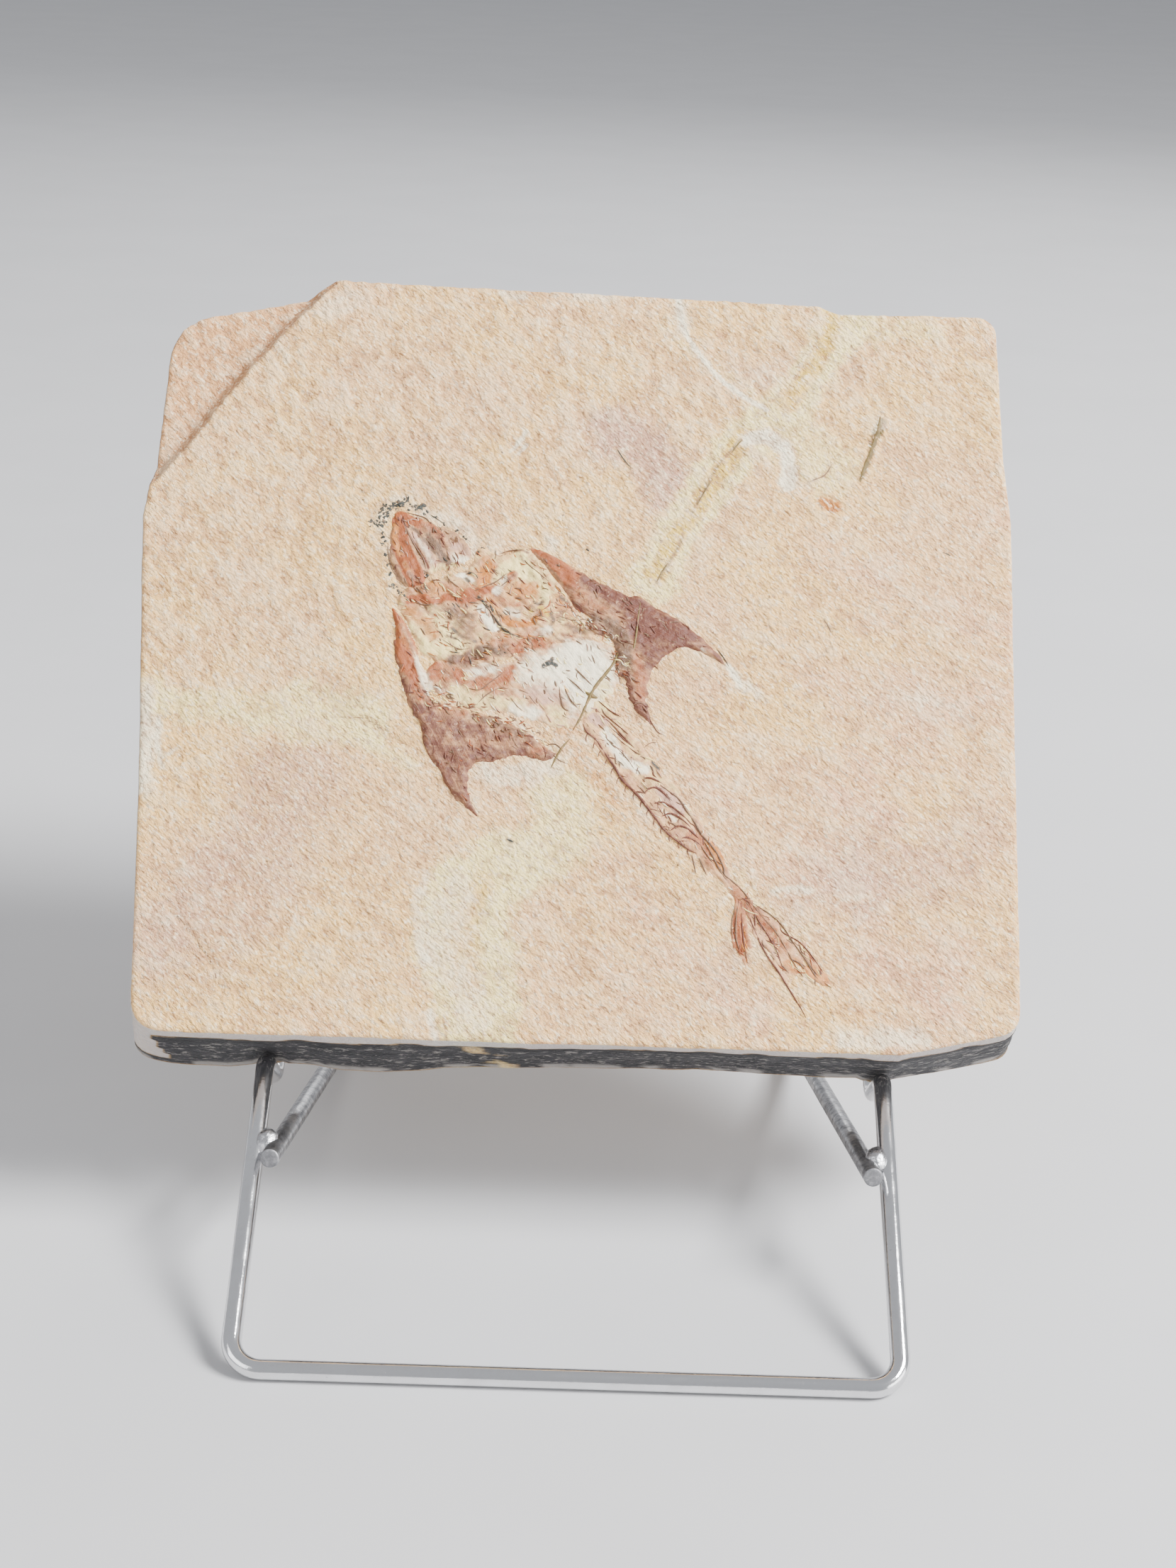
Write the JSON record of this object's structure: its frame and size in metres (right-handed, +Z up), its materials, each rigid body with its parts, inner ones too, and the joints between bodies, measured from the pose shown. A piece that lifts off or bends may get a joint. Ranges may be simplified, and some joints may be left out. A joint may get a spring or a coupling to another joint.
{
  "type": "fossil fish slab on a wire display stand",
  "caption": "Squarish limestone slab with a reddish-brown fossil fish across its face and a flaked corner, leaning back on a bent chrome wire display stand.",
  "frame": {"origin": "on the floor, under the middle of the whole object's bounding box", "axes": "+Z up, the fossil face looks towards -Y and leans back towards +Y, +X to the viewer's right"},
  "size_m": [0.1572, 0.1502, 0.1468],
  "materials": {
    "limestone": "matt, finely grained limestone in peach beige with cream and ochre bands, and red-brown fossil bone",
    "chrome": "bright plated wire with fine draw marks",
    "weld_metal": "plated weld bead, lumpy and half bright"
  },
  "bodies": {
    "root": {"fossil_slab": "limestone", "front_wire": "chrome", "rear_wire": "chrome", "weld_left": "weld_metal", "weld_right": "weld_metal"}
  },
  "joints": []
}
